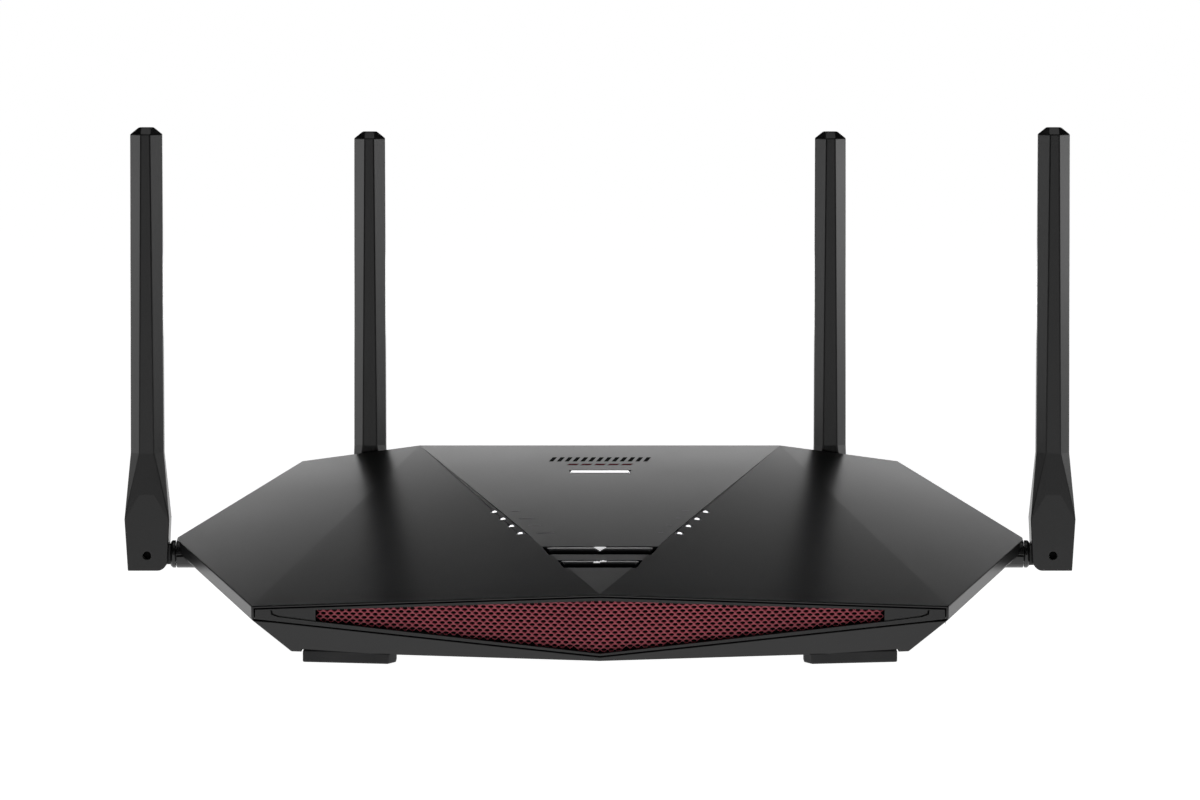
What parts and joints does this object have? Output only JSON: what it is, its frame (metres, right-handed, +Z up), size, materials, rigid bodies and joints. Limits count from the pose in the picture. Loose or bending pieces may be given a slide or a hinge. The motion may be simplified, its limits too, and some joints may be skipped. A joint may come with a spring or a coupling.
{
  "type": "wireless router",
  "caption": "Wireless router: faceted wedge housing with a folded mesh grille across the front, push buttons on top, rear sockets and folding antennas on swivel hinges.",
  "frame": {"origin": "on the table, under the middle of the bounding box at rest with the antennas upright", "axes": "+X to the right seen from the front, +Y from the nose to the rear sockets, +Z up"},
  "size_m": [0.3304, 0.2058, 0.1769],
  "materials": {
    "housing": "fine-textured near-black plastic with a soft sheen",
    "bezel": "satin near-black plastic",
    "panel": "textured near-black plastic",
    "antenna": "satin near-black plastic",
    "button": "satin grey plastic",
    "grille": "dark red satin coating",
    "rubber": "matt dark grey rubber",
    "lens": "milky white light guide",
    "board": "green solder mask",
    "chip": "moulded black package",
    "socket": "black moulded socket",
    "wan_socket": "yellow moulded socket",
    "cable": "black sheath",
    "steel": "plated steel",
    "aluminium": "plain extruded aluminium"
  },
  "bodies": {
    "housing": {"top_cover": "housing", "bottom_cover": "housing", "rear_panel": "panel", "front_bezel": "bezel", "front_grille": "grille", "wifi_switch": "chip", "wps_switch": "chip", "light_bar": "lens", "status_lights_left": "lens", "status_lights_right": "lens", "main_board": "board", "processor": "chip", "memory_chip": "chip", "heat_sink": "aluminium", "radio_shield_left": "steel", "radio_shield_right": "steel", "lan_jack_1": "socket", "lan_jack_2": "socket", "lan_jack_3": "socket", "lan_jack_4": "socket", "wan_jack": "wan_socket", "usb_port": "steel", "dc_jack": "socket", "power_switch": "chip", "light_switch": "chip", "reset_switch": "chip", "foot_front_left": "rubber", "case_screw_front_left": "steel", "foot_front_right": "rubber", "case_screw_front_right": "steel", "foot_rear_left": "rubber", "case_screw_rear_left": "steel", "foot_rear_right": "rubber", "case_screw_rear_right": "steel", "cable_side_left": "cable", "cable_side_right": "cable", "cable_rear_left": "cable", "cable_rear_right": "cable"},
    "light_slider": {"light_slider": "button"},
    "power_button": {"power_button": "button"},
    "reset_button": {"reset_button": "button"},
    "wifi_button": {"wifi_button": "button"},
    "wps_button": {"wps_button": "button"},
    "antenna_side_left_hinge": {"antenna_side_left_knuckle": "antenna", "antenna_side_left_clip": "steel"},
    "antenna_side_left": {"antenna_side_left_blade": "antenna", "antenna_side_left_pin": "steel"},
    "antenna_side_right_hinge": {"antenna_side_right_knuckle": "antenna", "antenna_side_right_clip": "steel"},
    "antenna_side_right": {"antenna_side_right_blade": "antenna", "antenna_side_right_pin": "steel"},
    "antenna_rear_left_hinge": {"antenna_rear_left_knuckle": "antenna", "antenna_rear_left_clip": "steel"},
    "antenna_rear_left": {"antenna_rear_left_blade": "antenna", "antenna_rear_left_pin": "steel"},
    "antenna_rear_right_hinge": {"antenna_rear_right_knuckle": "antenna", "antenna_rear_right_clip": "steel"},
    "antenna_rear_right": {"antenna_rear_right_blade": "antenna", "antenna_rear_right_pin": "steel"}
  },
  "joints": [
    {"name": "antenna_side_left_swivel", "type": "hinge", "parent": "housing", "child": "antenna_side_left_hinge", "pos_m": [-0.1574, 0.0095, 0.0284], "axis": [-1, 0, 0], "range_deg": [-90, 90]},
    {"name": "antenna_side_left_tilt", "type": "hinge", "parent": "antenna_side_left_hinge", "child": "antenna_side_left", "pos_m": [-0.1574, 0.0095, 0.0284], "axis": [0, -1, 0], "range_deg": [0, 90]},
    {"name": "antenna_side_right_swivel", "type": "hinge", "parent": "housing", "child": "antenna_side_right_hinge", "pos_m": [0.1574, 0.0095, 0.0284], "axis": [-1, 0, 0], "range_deg": [-90, 90]},
    {"name": "antenna_side_right_tilt", "type": "hinge", "parent": "antenna_side_right_hinge", "child": "antenna_side_right", "pos_m": [0.1574, 0.0095, 0.0284], "axis": [0, 1, 0], "range_deg": [0, 90]},
    {"name": "antenna_rear_left_swivel", "type": "hinge", "parent": "housing", "child": "antenna_rear_left_hinge", "pos_m": [-0.083, 0.0951, 0.025], "axis": [0, 1, 0], "range_deg": [-90, 90]},
    {"name": "antenna_rear_left_tilt", "type": "hinge", "parent": "antenna_rear_left_hinge", "child": "antenna_rear_left", "pos_m": [-0.083, 0.0951, 0.025], "axis": [-1, 0, 0], "range_deg": [0, 90]},
    {"name": "antenna_rear_right_swivel", "type": "hinge", "parent": "housing", "child": "antenna_rear_right_hinge", "pos_m": [0.083, 0.0951, 0.025], "axis": [0, -1, 0], "range_deg": [-90, 90]},
    {"name": "antenna_rear_right_tilt", "type": "hinge", "parent": "antenna_rear_right_hinge", "child": "antenna_rear_right", "pos_m": [0.083, 0.0951, 0.025], "axis": [-1, 0, 0], "range_deg": [0, 90]},
    {"name": "wifi_button_press", "type": "slide", "parent": "housing", "child": "wifi_button", "axis": [0, 0.1876, -0.9823], "range_m": [0, 0.0006], "stiffness_N_per_m": 2500, "springref_m": -0.0004},
    {"name": "wps_button_press", "type": "slide", "parent": "housing", "child": "wps_button", "axis": [0, 0.1876, -0.9823], "range_m": [0, 0.0006], "stiffness_N_per_m": 2500, "springref_m": -0.0004},
    {"name": "power_button_press", "type": "slide", "parent": "housing", "child": "power_button", "axis": [0, -1, 0], "range_m": [0, 0.0018], "stiffness_N_per_m": 900, "springref_m": -0.0006},
    {"name": "reset_button_press", "type": "slide", "parent": "housing", "child": "reset_button", "axis": [0, -1, 0], "range_m": [0, 0.0005], "stiffness_N_per_m": 600, "springref_m": -0.0003},
    {"name": "light_slider_slide", "type": "slide", "parent": "housing", "child": "light_slider", "axis": [1, 0, 0], "range_m": [0, 0.0025]}
  ]
}
